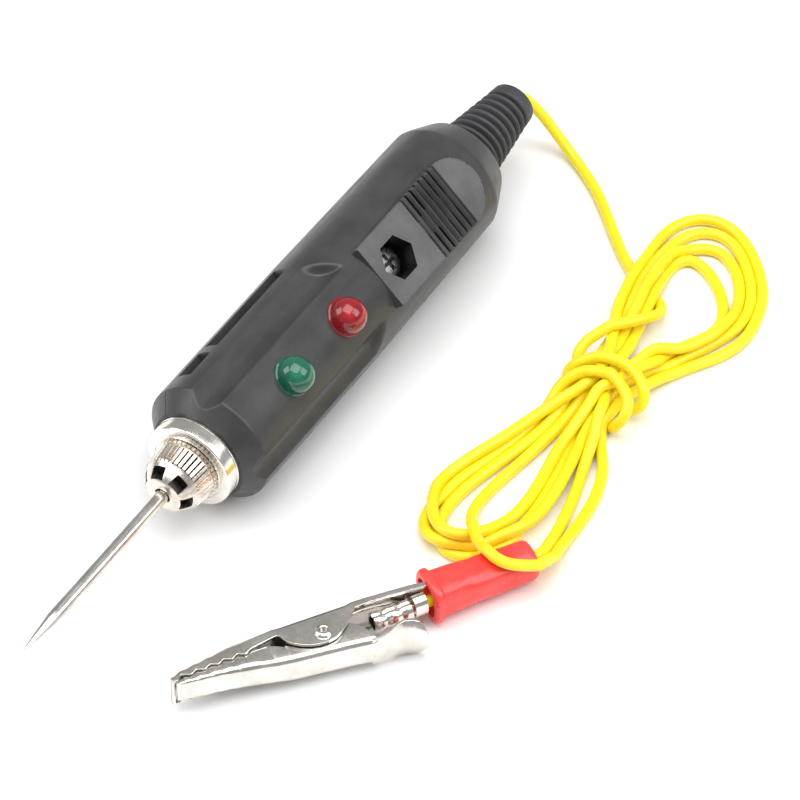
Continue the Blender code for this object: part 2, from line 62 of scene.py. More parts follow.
# Pen
NEEDLE_TIP = -40.3
PEN_ROLL = 43.0
BARREL_R = 9.25
BARREL_REAR_R = 8.87
HOUSING_FRONT = 0.15
HOUSING_REAR = 65.8
CAVITY_R = 7.4
SEAM_HALF = 0.35  # degrees left open on each side of the seam
FLUTE_ANGLE = 44.0
FLUTE_HALF = 14.5
FLUTE_DEPTH = 1.3
SLOT_HALF = 15.0
SLOT_DEPTH = 1.35
SLOT_SPANS = ((5.6, 10.5), (12.0, 28.7))
PAD_START = 34.9
PAD_END = 59.5
PAD_HALF = 5.0
PAD_TOP = 9.35
RIBS_START = 46.0
RIBS_END = 54.3
RIB_PITCH = 1.16
SCREW_X = 39.65
HEX_FLATS = 5.5
HEX_FLOOR = 5.3
GREEN_X = 13.45
RED_X = 26.35
LAMP_R = 2.58
LAMP_CENTRE = 9.95
RELIEF_START = 66.0
RELIEF_END = 80.3
RELIEF_RIDGES = 8
RIDGE = (
    (0.0, 1.1), (0.12, 1.05), (0.2, 0.5), (0.33, 0.12), (0.5, 0.0), (0.67, 0.12), (0.8, 0.5), (0.88, 1.05),
)
COLLAR_R = 6.5
KNURLS = 40
CAP_SLOTS = 6
CAP_SLOT_TURN = -4.0
CAP_SLOT_SPAN = (-8.35, -6.85)

# Clip
CLIP_HEADING = -31.0
CLIP_MIDDLE = 3.45
SHEET = 0.42
TOOTH_PITCH = 1.93
BOOT_FRONT = 15.6
BOOT_REAR = 31.3
BOOT_R = 3.1
BOOT_TAPER = 0.35

# Cord, from a place on the bench that is BENCH_Y along Y from the frame's origin
CORD_R = 0.8
CORD_STEP = 0.85
BENCH_Y = 0.6
CORD_ROUTE = (
    (60.6, 0, 9.25), (62.5, -0.6, 8.6), (63.8, -2.2, 6.2), (64, -5, 3), (62.8, -8.6, 1.2),
    (61.3, -11.2, 0.85),
    (58.3, -15.4, 0.85), (52.7, -21.2, 0.85), (49.4, -24.7, 0.85), (46.6, -28.4, 0.8), (44.9, -31.4, 0.8),
    (44.5, -33.6, 1), (42.5, -35.2, 2), (40.1, -35.8, 3.3), (38, -35.2, 4.3), (35.8, -33.9, 4.9),
    (33.3, -32.2, 4.9), (31.2, -30.6, 4.4), (29.2, -29.8, 4), (27.6, -29.8, 3.4), (27, -30.1, 2),
    (26.7, -31.9, 0.9), (26, -34.7, 0.8), (25, -37.7, 0.8), (24.3, -39.8, 0.9), (23.7, -41.3, 1.7),
    (24, -42.4, 2.8), (24.4, -42.7, 4), (24.9, -42.5, 4.9), (25.7, -41.7, 5.5), (26.9, -40.2, 5.8),
    (27.8, -37.9, 5.9), (27.8, -35.4, 5.6), (26.9, -32.9, 5), (25.7, -31, 4.1), (25, -29.7, 2.6),
    (24.3, -30.2, 1.1), (23.2, -32.5, 0.8), (22, -35.3, 0.8), (20.7, -37.5, 0.9), (19.4, -39.4, 1.7),
    (19, -40.9, 2.8), (19.4, -41.9, 3.9), (20.4, -42.1, 4.8), (21.7, -41.8, 5.3), (22.8, -41, 5.7),
    (24, -39.1, 5.9), (24.6, -36.7, 5.9), (24.4, -34.3, 5.5), (23.5, -32.2, 4.8), (22.2, -31, 3.9),
    (20.8, -30.7, 2.8), (19.3, -30.9, 1.6), (16.7, -30.9, 0.9), (11.8, -30.1, 0.8), (6.8, -28.7, 0.8),
    (1.8, -27.3, 0.8), (-3.2, -26.8, 0.8), (-6.3, -26.8, 0.9), (-8.9, -27.9, 1.6), (-10.8, -30.2, 2.4),
    (-10.7, -32.5, 2.4), (-9.6, -34.5, 2.2), (-8, -36.4, 1.8), (-6.2, -38.1, 1.6), (-3.9, -39.3, 1.6),
    (1, -40.1, 1.8), (6, -39.8, 1.8), (11, -39, 1.8), (16, -37.9, 1.8), (19.3, -37.5, 2.6),
    (23.3, -37.4, 2.6),
    (27.5, -37.7, 2.4), (32, -38.8, 1.7), (35.1, -40, 1), (39.1, -42.4, 0.8), (42.2, -43.9, 0.8),
    (45.8, -44.9, 0.8), (49.1, -44.9, 0.8), (52.2, -43.9, 0.8), (55.3, -41.8, 0.8), (58.4, -38.9, 0.8),
    (60, -36.5, 0.8), (60.6, -33.9, 0.8), (59.7, -31.5, 0.8), (56.7, -29.6, 0.9), (51.5, -29.3, 1.6),
    (46.5, -29.8, 2.4), (41.5, -30.7, 2.4), (36.8, -31.4, 2), (32.6, -32.2, 2.2), (28.3, -32.4, 2.6),
    (24.3, -32.5, 2.6), (20.6, -32.7, 2.2), (16.6, -32.2, 1), (11.8, -31.4, 0.8), (6.8, -30.4, 0.8),
    (1.8, -29.2, 0.8), (-3.2, -28.6, 0.8), (-7.2, -29.3, 0.8), (-10.2, -31.2, 0.8), (-10.9, -33.4, 0.8),
    (-10.1, -35.5, 0.8), (-8.8, -37.3, 0.9), (-6.5, -38.5, 0.9), (-3.2, -39.3, 0.8), (1.8, -39.1, 0.8),
    (6.8, -38.5, 0.8), (11.8, -37.5, 0.8), (16.6, -36.4, 1), (19.5, -36.1, 2.4), (23.5, -35.7, 2.4),
    (27.5, -36, 2.4), (30.6, -37, 2.3), (33.5, -39.3, 2.4), (37.6, -41.8, 2.3), (41.6, -43.8, 2.3),
    (46.1, -44.3, 1.6), (50.9, -42.9, 0.8), (53.8, -41.2, 0.8), (55.9, -38.9, 0.8), (57.5, -36.2, 0.8),
    (57.3, -33.9, 0.8), (55.9, -32.1, 0.8), (52.8, -30.8, 1.8), (49, -30.6, 2.4), (44.8, -31.4, 3.2),
    (40.8, -32.3, 3.2), (37.3, -32.8, 2.6), (32.2, -33.7, 2.8), (28.3, -34, 2.6), (24.5, -34.1, 2.4),
    (21.1, -34.1, 1.6), (16.8, -33.8, 0.8), (11.8, -33.3, 0.8), (6.8, -32.6, 0.8), (1.8, -31.9, 0.8),
    (-1.4, -31.8, 1), (-4.2, -32.7, 2), (-7.8, -35, 4), (-10.7, -37.7, 5.8), (-12.8, -40.6, 7),
    (-13.2, -43.1, 7.2), (-11.4, -44.7, 6), (-8.4, -45.6, 4.2), (-4.3, -45.6, 2.4), (-0.6, -45.3, 1.3),
    (3.3, -45.1, 0.8), (6.8, -44.9, 0.8), (9.8, -44.2, 0.8), (11.8, -43.6, 0.8), (13.8, -42.6, 0.8),
    (15.3, -41.4, 0.8), (16.8, -40.1, 0.8), (19.1, -39, 1), (20.5, -39.1, 2.4), (24.5, -39.1, 2.4),
    (27.5, -40, 2.4), (30.9, -40.9, 1.6), (34.1, -42.1, 0.8), (37.8, -44.6, 0.8), (41.2, -46.5, 0.8),
    (44.4, -47.1, 0.8), (47.5, -46.8, 0.8), (52.2, -45.2, 0.8), (56.8, -42.1, 0.8), (60, -38.9, 0.8),
    (62.2, -35.8, 0.8), (62.8, -33, 0.8), (62.2, -30.5, 0.8), (60, -28.3, 0.8), (56.8, -27.2, 0.8),
    (51.8, -27.5, 1.2), (47, -28.6, 2.4), (44.5, -28.9, 2.4), (40.5, -29.6, 2.4), (35.7, -31.4, 3.4),
    (31, -33.6, 4.2), (26.4, -34.7, 4.4), (22.7, -34.3, 4), (19.8, -32.6, 3.2), (15.5, -30.7, 2.4),
    (10.6, -29.5, 2.2), (5.8, -27.8, 2), (1.3, -26, 1.4), (-0.7, -25.7, 1.4), (-4.5, -26.9, 2.4),
    (-7.2, -28.4, 2.6), (-9.6, -30.9, 3.8), (-10.2, -33.1, 4.2), (-8.9, -34.9, 3.8), (-6.6, -35.9, 2.8),
    (-3, -37, 1.8), (1.1, -37.7, 1.6), (6.1, -37.3, 1.6), (11, -36.6, 1.8), (15.6, -36.2, 2.2),
    (19.7, -36.4, 3.4), (23.2, -36.8, 4), (26.3, -37.3, 3.9), (29.7, -38.3, 3.3), (33.5, -39.4, 2.3),
    (38.3, -41.3, 1.4), (41.7, -42.6, 0.9), (44.3, -43.2, 0.9), (47.5, -42.1, 0.8), (50.3, -39.9, 0.8),
    (52.5, -37.4, 0.8), (53.8, -34.9, 0.8), (54.1, -32.7, 0.8), (53, -31.1, 0.9), (50.1, -31.2, 1.4),
    (45.9, -32, 2.4), (41.9, -32.9, 2.5), (38.6, -33.6, 2.2), (34.5, -34.6, 2.4), (29.8, -35.4, 3.2),
    (26.3, -36.1, 3.9), (23.8, -36.7, 3.9), (21.5, -37.7, 3.6), (20, -38.2, 3), (15.6, -39.6, 2.2),
    (11.4, -40.7, 1.2), (6.8, -42.1, 0.8), (1.8, -43.1, 0.8), (-1.9, -43.9, 1.6), (-5.3, -44.6, 2.9),
    (-7, -44.1, 3),
)

# How the cord settles: rounds, pull to its route, stiffness, and sinking in millimetres a round
ROUNDS = 240
ROUNDS_PER_SEARCH = 12
SEARCH_MARGIN = 1.2
NEIGHBOURS = 4
PULL = 0.045
BEND = 0.35
SINK = 0.008

# Camera
CAMERA_AT = (-0.38554, -0.26061, 0.49473)
CAMERA_TURN = (43.368, 0.0, -57.853)
CAMERA_LENS = 225.0

joints = {joint["name"]: joint for joint in frame["joints"]}
cap_axis = joints["nose_cap_turn"]["pos_m"]
clip_axis = joints["clip_open"]["pos_m"]
needle_low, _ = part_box("probe_needle")
PEN = (
    Matrix.Translation((needle_low[0] - NEEDLE_TIP * MM, cap_axis[1], cap_axis[2]))
    @ Matrix.Rotation(math.radians(PEN_ROLL), 4, "X")
    @ Matrix.Scale(MM, 4)
)
CLIP = (
    Matrix.Translation((clip_axis[0], clip_axis[1], 0.0))
    @ Matrix.Rotation(math.radians(CLIP_HEADING), 4, "Z")
    @ Matrix.Scale(MM, 4)
)
BENCH = Matrix.Translation((0.0, BENCH_Y * MM, 0.0)) @ Matrix.Scale(MM, 4)


# ---------------------------------------------------------------- materials


class Paint:
    """A material under construction: a Principled shader and short ways to feed it."""

    def __init__(self, name, roughness, metallic=0.0, **settings):
        self.material = bpy.data.materials.new(name)
        self.material.use_nodes = True
        self.nodes = self.material.node_tree.nodes
        self.links = self.material.node_tree.links
        self.shader = self.nodes["Principled BSDF"]
        self.set(Roughness=roughness, Metallic=metallic)
        for key, value in settings.items():
            self.shader.inputs[key.replace("_", " ")].default_value = value
        place = self.nodes.new("ShaderNodeTexCoord")
        self.place = place.outputs["Object"]
        self.height = None

    def set(self, **settings):
        for key, value in settings.items():
            self.shader.inputs[key].default_value = value

    def stretched(self, scale):
        mapping = self.nodes.new("ShaderNodeMapping")
        mapping.inputs["Scale"].default_value = scale
        self.links.new(self.place, mapping.inputs["Vector"])
        return mapping.outputs["Vector"]

    def noise(self, scale, detail=3.0, roughness=0.55, stretch=None):
        node = self.nodes.new("ShaderNodeTexNoise")
        node.inputs["Scale"].default_value = scale
        node.inputs["Detail"].default_value = detail
        node.inputs["Roughness"].default_value = roughness
        self.links.new(self.stretched(stretch) if stretch else self.place, node.inputs["Vector"])
        return node.outputs["Fac"]

    def cells(self, scale):
        node = self.nodes.new("ShaderNodeTexVoronoi")
        node.inputs["Scale"].default_value = scale
        self.links.new(self.place, node.inputs["Vector"])
        return node.outputs["Distance"]

    def ramp(self, value, low, high, start, end):
        """Maps a value between low and high onto start to end, which are numbers or colours."""
        node = self.nodes.new("ShaderNodeValToRGB")
        node.color_ramp.elements[0].position = low
        node.color_ramp.elements[1].position = high
        for element, colour in zip(node.color_ramp.elements, (start, end)):
            element.color = (*colour, 1.0) if isinstance(colour, tuple) else (colour, colour, colour, 1.0)
        self.links.new(value, node.inputs["Fac"])
        return node.outputs["Color"]

    def mix(self, share, first, second):
        node = self.nodes.new("ShaderNodeMix")
        node.data_type = "RGBA"
        self.links.new(share, node.inputs["Factor"])
        for socket, source in ((node.inputs[6], first), (node.inputs[7], second)):
            if isinstance(source, tuple):
                socket.default_value = (*source, 1.0)
            else:
                self.links.new(source, socket)
        return node.outputs[2]

    def feed(self, socket, value):
        self.links.new(value, self.shader.inputs[socket])

    def bump(self, value, distance, strength=1.0):
        node = self.nodes.new("ShaderNodeBump")
        node.inputs["Strength"].default_value = strength
        node.inputs["Distance"].default_value = distance
        self.links.new(value, node.inputs["Height"])
        if self.height:
            self.links.new(self.height, node.inputs["Normal"])
        self.height = node.outputs["Normal"]
        self.links.new(self.height, self.shader.inputs["Normal"])


def moulded(name, dark, light, roughness, speck):
    """Moulded plastic: cloudy colour, fine grain, faint scuffs and pale dust specks."""
    paint = Paint(name, roughness)
    cloud = paint.ramp(paint.noise(160.0, 4.0), 0.35, 0.7, dark, light)
    specks = paint.ramp(paint.cells(1100.0), 0.05, 0.11, speck, 0.0)
    paint.feed("Base Color", paint.mix(specks, cloud, (0.32, 0.32, 0.33)))
    scuffs = paint.noise(420.0, 5.0, 0.7, (0.5, 2.5, 2.5))
    paint.feed("Roughness", paint.ramp(scuffs, 0.3, 0.75, roughness - 0.07, roughness + 0.12))
    paint.bump(paint.noise(3800.0, 2.0), 0.00002, 0.35)
    paint.bump(paint.noise(260.0, 2.0), 0.00006, 0.25)
    return paint.material


def metal(name, clean, worn, roughness, grain=(1.0, 1.0, 1.0), patina=0.5, dents=0.2):
    """Plated or drawn metal with fine scratches along its grain and duller patches."""
    paint = Paint(name, roughness, 1.0)
    patches = paint.noise(260.0, 5.0, 0.65)
    paint.feed("Base Color", paint.ramp(patches, 0.38, 0.38 + patina * 0.6, worn, clean))
    lines = paint.noise(2600.0, 4.0, 0.7, grain)
    paint.feed("Roughness", paint.ramp(lines, 0.3, 0.75, roughness * 0.6, roughness * 1.6))
    paint.bump(lines, 0.00001, 0.2)
    paint.bump(paint.noise(500.0, 2.0), 0.00003, dents)
    return paint.material


def vinyl(name, deep, bright, roughness, glow, pits=0.3, **settings):
    """Soft PVC: slightly waxy, a little light passing through, small pits and handling marks."""
    paint = Paint(name, roughness, Subsurface_Weight=glow, Subsurface_Scale=0.0012, **settings)
    paint.set(**{"Subsurface Radius": (1.0, 0.6, 0.2)})
    paint.feed("Base Color", paint.ramp(paint.noise(190.0, 4.0), 0.3, 0.7, deep, bright))
    marks = paint.noise(900.0, 4.0, 0.7)
    paint.feed("Roughness", paint.ramp(marks, 0.3, 0.75, roughness - 0.08, roughness + 0.14))
    paint.bump(marks, 0.00002, pits)
    paint.bump(paint.noise(240.0, 2.0), 0.00008, 0.2)
    return paint.material


def lens(name, deep, bright):
    """Tinted clear resin of a lamp."""
    paint = Paint(name, 0.06, Transmission_Weight=0.5, IOR=1.5, Coat_Weight=0.4, Coat_Roughness=0.04)
    paint.feed("Base Color", paint.ramp(paint.noise(420.0, 2.0), 0.3, 0.7, deep, bright))
    paint.feed("Roughness", paint.ramp(paint.noise(700.0, 3.0), 0.3, 0.7, 0.04, 0.12))
    paint.bump(paint.noise(330.0, 2.0), 0.00004, 0.15)
    return paint.material


def floor_paint():
    paint = Paint("bench_surface", 0.7)
    cloud = paint.noise(9.0, 3.0)
    paint.feed("Base Color", paint.ramp(cloud, 0.3, 0.7, (0.93, 0.93, 0.94), (0.96, 0.96, 0.96)))
    paint.bump(paint.noise(700.0, 2.0), 0.00002, 0.1)
    return paint.material


# ---------------------------------------------------------------- shapes


def piece(name, form, place, body, finish):
    """Turns a bmesh drawn in millimetres into an object that rides on a body."""
    bmesh.ops.transform(form, matrix=place, verts=form.verts)
    bmesh.ops.recalc_face_normals(form, faces=form.faces)
    mesh = bpy.data.meshes.new(name)
    form.to_mesh(mesh)
    form.free()
    mesh.shade_smooth()
    mesh.set_sharp_from_angle(angle=SHARP)
    mesh.materials.append(finish)
    made = bpy.data.objects.new(name, mesh)
    bpy.context.collection.objects.link(made)
    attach(made, body)
    return made


def rings(form, loops):
    """Skins a list of closed loops of the same length."""
    rows = [[form.verts.new(point) for point in loop] for loop in loops]
    count = len(rows[0])
    for near, far in zip(rows, rows[1:]):
        for i in range(count):
            j = (i + 1) % count
            form.faces.new((near[i], near[j], far[j], far[i]))
    return rows


def capped(loops):
    """A skin over a list of loops, closed by a face at each end."""
    form = bmesh.new()
    rows = rings(form, loops)
    form.faces.new(rows[0])
    form.faces.new(rows[-1])
    return form


def turned(profile, steps=64, shape=None):
    """A solid of revolution about X. shape(x, r, angle) may change a point's radius."""
    form = bmesh.new()
    loops = []
    for x, r in profile:
        loop = []
        for i in range(steps):
            a = 2 * math.pi * i / steps
            radius = shape(x, r, a) if shape else r
            loop.append((x, -radius * math.sin(a), radius * math.cos(a)))
        loops.append(loop)
    rows = rings(form, loops)
    if profile[0] != profile[-1]:
        form.faces.new(rows[0])
        form.faces.new(rows[-1])
    bmesh.ops.remove_doubles(form, verts=form.verts, dist=1e-4)
    return form


def arc(x, r, radius, start, end, steps=5):
    """Points of a profile on a round corner, angles in degrees from +X towards the outside."""
    points = []
    for i in range(steps + 1):
        a = math.radians(start + (end - start) * i / steps)
        points.append((x + radius * math.cos(a), r + radius * math.sin(a)))
    return points


def upright(form, x=0.0, y=0.0, z=0.0):
    """Stands a form that was drawn along X up along Z, and moves it."""
    turn = Matrix.Rotation(-math.pi / 2, 4, "Y")
    bmesh.ops.transform(form, matrix=Matrix.Translation((x, y, z)) @ turn, verts=form.verts)
    return form


def prism(outline, low, high):
    return capped([[(x, y, z) for x, y in outline] for z in (low, high)])


def hexagon(flats, x=0.0):
    corners = [math.radians(60 * i) for i in range(6)]
    radius = flats / math.sqrt(3)
    return [(x + radius * math.cos(a), radius * math.sin(a)) for a in corners]


def joined(forms):
    whole = bmesh.new()
    for form in forms:
        bmesh.ops.recalc_face_normals(form, faces=form.faces)
        part = bpy.data.meshes.new("part")
        form.to_mesh(part)
        form.free()
        whole.from_mesh(part)
        bpy.data.meshes.remove(part)
    return whole


def cut(target, cutter):
    """Subtracts a bmesh drawn in world units from an object, and removes the cutter."""
    mesh = bpy.data.meshes.new("cutter")
    bmesh.ops.recalc_face_normals(cutter, faces=cutter.faces)
    cutter.to_mesh(mesh)
    cutter.free()
    helper = bpy.data.objects.new("cutter", mesh)
    bpy.context.collection.objects.link(helper)
    modifier = target.modifiers.new("cut", "BOOLEAN")
    modifier.object = helper
    modifier.solver = "EXACT"
    graph = bpy.context.evaluated_depsgraph_get()
    made = bpy.data.meshes.new_from_object(target.evaluated_get(graph))
    target.modifiers.clear()
    target.data = made
    made.shade_smooth()
    made.set_sharp_from_angle(angle=SHARP)
    bpy.data.objects.remove(helper, do_unlink=True)


def softened(target, width):
    """Rounds the edges of a piece by a width in millimetres."""
    modifier = target.modifiers.new("rounding", "BEVEL")
    modifier.width = width * MM
    modifier.segments = 2
    modifier.limit_method = "ANGLE"
    modifier.angle_limit = SHARP
    return target


def smooth_route(points, step):
    """Points about a step apart along a smooth curve through the given ones."""
    knots = [Vector(point) for point in points]
    knots = [2 * knots[0] - knots[1], *knots, 2 * knots[-1] - knots[-2]]
    route = []
    for before, start, end, after in zip(knots, knots[1:], knots[2:], knots[3:]):
        count = max(1, round((end - start).length / step))
        for i in range(count):
            t = i / count
            swing = (end - before) * t
            bend = (2 * before - 5 * start + 4 * end - after) * t * t
            close = (3 * start - before - 3 * end + after) * t * t * t
            route.append(start + (swing + bend + close) / 2)
    route.append(knots[-2])
    return route


def tube(name, points, radius, place, body, finish, fine=5):
    """A cord or wire as a curve with a round bevel."""
    curve = bpy.data.curves.new(name, "CURVE")
    curve.dimensions = "3D"
    curve.bevel_depth = radius * MM
    curve.bevel_resolution = fine
    curve.use_fill_caps = True
    spline = curve.splines.new("POLY")
    spline.points.add(len(points) - 1)
    for knot, point in zip(spline.points, points):
        knot.co = (*(place @ Vector(point)), 1.0)
    spline.use_smooth = True
    curve.materials.append(finish)
    made = bpy.data.objects.new(name, curve)
    bpy.context.collection.objects.link(made)
    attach(made, body)
    return made


def between(table, x):
    """Straight-line reading of a table of (x, value)."""
    places, values = zip(*table)
    return float(np.interp(x, places, values))


def eased(value, low, high):
    t = min(1.0, max(0.0, (value - low) / (high - low)))
    return t * t * (3 - 2 * t)


# ---------------------------------------------------------------- cord


def settled(points, boot_start, boot_end):
    """Lets the hank relax.

    Strands push apart to a diameter, bend smoothly, sink, keep their length, and stay off the boot and the
    bench.
    """
    width = 2 * CORD_R
    count = len(points)
    target = points.copy()
    rest = np.linalg.norm(np.diff(points, axis=0), axis=1)
    index = np.arange(count)
    apart = index[None, :] - index[:, None] > NEIGHBOURS
    free = np.ones((count, 1))
    free[:3] = 0.0
    free[-3:] = 0.0
    boot = boot_end - boot_start
    for number in range(ROUNDS):
        if number % ROUNDS_PER_SEARCH == 0:
            gaps = ((points[:, None, :] - points[None, :, :]) ** 2).sum(2)
            first, second = np.nonzero((gaps < (width + SEARCH_MARGIN) ** 2) & apart)
        move = PULL * (target - points)
        move[:, 2] -= SINK
        move[1:-1] += BEND * ((points[:-2] + points[2:]) / 2 - points[1:-1])
        points = points + free * move
        for _ in range(3):
            away = points[first] - points[second]
            gap = np.sqrt((away**2).sum(1)) + 1e-9
            short = np.maximum(0.0, width - gap) / gap
            push = short[:, None] * away * 0.5
            total = np.zeros_like(points)
            np.add.at(total, first, push)
            np.add.at(total, second, -push)
            pressed = np.concatenate([first[short > 0], second[short > 0]])
            touching = np.bincount(pressed, minlength=count)
            points = points + free * total / np.sqrt(np.maximum(1, touching))[:, None]
            along = ((points - boot_start) @ boot) / (boot @ boot)
            share = np.clip(along, 0, 1)
            outward = points - (boot_start + share[:, None] * boot)
            gap = np.linalg.norm(outward, axis=1) + 1e-9
            wanted = BOOT_R - BOOT_TAPER * share + CORD_R + 0.05
            inside = (gap < wanted) & (along > -0.02) & (along < 1.0)
            lift = np.where(inside, (wanted - gap) / gap, 0.0)
            points = points + free * lift[:, None] * outward
            legs = np.diff(points, axis=0)
            length = np.linalg.norm(legs, axis=1) + 1e-9
            stretch = ((length - rest) / length)[:, None] * legs * 0.5
            total = np.zeros_like(points)
            total[:-1] += stretch
            total[1:] -= stretch
            points = points + free * total * 0.5
            points[:, 2] = np.maximum(points[:, 2], CORD_R)
    return points


def on_bench(x, y, z):
    """A place of the clip's own frame, in the cord's frame."""
    return np.array(BENCH.inverted() @ (CLIP @ Vector((x, y, z))))


def cord(yellow):
    points = np.array([tuple(point) for point in smooth_route(CORD_ROUTE, CORD_STEP)])
    points = settled(points, on_bench(BOOT_FRONT + 1.3, 1.55, 3.5), on_bench(BOOT_REAR, 1.7, 3.0))
    made = tube("ground_cord", points, CORD_R, BENCH, "tester", yellow, fine=6)
    length = float(np.linalg.norm(np.diff(points, axis=0), axis=1).sum()) * MM
    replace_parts(made, "cord_lead", "cord_hank", "cord_tail")
    return made, length, BENCH @ Vector(points[0])


# ---------------------------------------------------------------- pen


def steps_between(spans):
    """One list of x from (start, end, step) spans."""
    places = []
    for start, end, step in spans:
        count = max(1, round((end - start) / step))
        places += [start + (end - start) * i / count for i in range(count)]
    return np.array(places + [spans[-1][1]])


def barrel_radius(x):
    front = np.clip((x - HOUSING_FRONT) / 2.55, 0, 1)
    rear = np.clip((x - 61.3) / (HOUSING_REAR - 61.3), 0, 1)
    r = BARREL_R + (BARREL_REAR_R - BARREL_R) * np.clip((x - 31.0) / 30.3, 0, 1)
    r = r - 2.25 * (1 - front)
    return r - 1.97 * rear**1.1


def rib_height(x):
    """Each rib is a pair of soft crests, with a wide groove before the next."""
    t = ((x - RIBS_START) / RIB_PITCH) % 1.0
    crest = np.clip(1 - np.abs(t - 0.5) / 0.33, 0, 1)
    crest = crest * crest * (3 - 2 * crest)
    split = 0.34 * np.exp(-(((t - 0.5) / 0.07) ** 2))
    inside = np.clip((x - RIBS_START) / 0.25, 0, 1) * np.clip((RIBS_END - x) / 0.25, 0, 1)
    return inside * (-0.6 + 0.86 * np.minimum(1, crest * 1.9) - split)


def soft_step(value, low, high):
    t = np.clip((value - low) / (high - low), 0, 1)
    return t * t * (3 - 2 * t)


def shell_radius(x, degrees, with_pad):
    """Height of the housing's surface above its axis."""
    r = barrel_radius(x)
    around = np.abs(degrees)
    near = np.where(around > 90, 180 - around, around)
    u = (near - FLUTE_ANGLE) / FLUTE_HALF
    rear_end = 31.4 - 1.5 * u
    rear = soft_step(rear_end - x, 0.0, 1.3)
    groove = np.clip(1 - u**2, 0, 1) ** 0.85
    r = np.where(np.abs(u) < 1, np.minimum(r, BARREL_R - FLUTE_DEPTH * groove * rear), r)
    beside = soft_step(SLOT_HALF - np.abs(near - 90), 0.0, 1.6)
    for start, end in SLOT_SPANS:
        r = r - SLOT_DEPTH * beside * soft_step(x, start, start + 0.3) * (1 - soft_step(x, end - 0.3, end))
    if not with_pad:
        return r
    a = np.radians(np.clip(around, 0.01, 60))
    ribs = (x > RIBS_START) & (x < RIBS_END)
    rear_x = PAD_END - PAD_HALF
    half = np.where(x > rear_x, np.sqrt(np.clip(PAD_HALF**2 - (x - rear_x) ** 2, 0, None)), PAD_HALF)
    half = np.where(ribs, 5.12, half)
    top = (PAD_TOP + rib_height(x)) / np.cos(a)
    side = half / np.sin(a)
    blend = 0.16
    edge = np.clip(0.5 + 0.5 * (side - top) / blend, 0, 1)
    pad = side * (1 - edge) + top * edge - blend * edge * (1 - edge)
    pad = np.where((x >= PAD_START) & (x <= PAD_END) & (around < 60), pad, 0)
    lift = soft_step(x, PAD_START - 0.02, PAD_START + 0.18)
    pad = r + (pad - r) * np.where(pad > 0, lift, 0)
    return np.maximum(r, pad)


def shell(name, first, last, with_pad, plastic, pad_plastic):
    """One half of the housing, from angle first to last, as a closed thick solid."""
    spans = [(HOUSING_FRONT, 3.2, 0.18), (3.2, 5.4, 0.5), (5.4, 6.2, 0.1), (6.2, 10.0, 0.6)]
    spans += [(10.0, 12.6, 0.1), (12.6, 28.0, 0.6), (28.0, 34.6, 0.2), (34.6, 35.3, 0.06)]
    spans += [(35.3, 45.8, 0.5), (45.8, 54.5, 0.073), (54.5, 59.2, 0.2), (59.2, 59.8, 0.06)]
    spans += [(59.8, 61.3, 0.4), (61.3, HOUSING_REAR, 0.25)]
    x = steps_between(spans)
    degrees = [first + SEAM_HALF]
    while degrees[-1] < last - SEAM_HALF - 0.2:
        here = abs(degrees[-1] + 0.5)
        fine = 1.0 if 23 <= here <= 36 else 2.0
        degrees.append(min(last - SEAM_HALF, degrees[-1] + fine))
    inner = [(HOUSING_REAR, 3.9), (61.5, 3.9), (61.5, 6.4), (58.0, CAVITY_R), (2.6, CAVITY_R)]
    inner += [(2.6, 4.7), (HOUSING_FRONT, 4.7)]
    loops = []
    for angle in degrees:
        r = shell_radius(x, np.full_like(x, angle), with_pad)
        a = math.radians(angle)
        profile = list(zip(x, r)) + inner
        loops.append([(px, -pr * math.sin(a), pr * math.cos(a)) for px, pr in profile])
    made = piece(name, capped(loops), PEN, "tester", plastic)
    made.data.materials.append(pad_plastic)
    return made


def tint_pad(made):
    """Gives the thumb pad its lighter plastic, and the rib grooves and the screw's hexagon recess a
    near-black painted shade.
    """
    inward = PEN.inverted()
    for face in made.data.polygons:
        x, y, z = inward @ face.center
        radius = math.hypot(y, z)
        on_pad = PAD_START + 0.15 < x < PAD_END and z > PAD_TOP - 0.75 and abs(y) < 5.35
        grooved = RIBS_START < x < RIBS_END and z < PAD_TOP - 0.3
        in_hexagon = abs(x - SCREW_X) < 3.25 and abs(y) < 3.0 and z < PAD_TOP - 0.12
        # Rib grooves and the hexagon recess get the near-black painted shade.
        if in_hexagon or (on_pad and grooved):
            face.material_index = 2
        elif on_pad and radius > BARREL_REAR_R - 0.3:
            face.material_index = 1


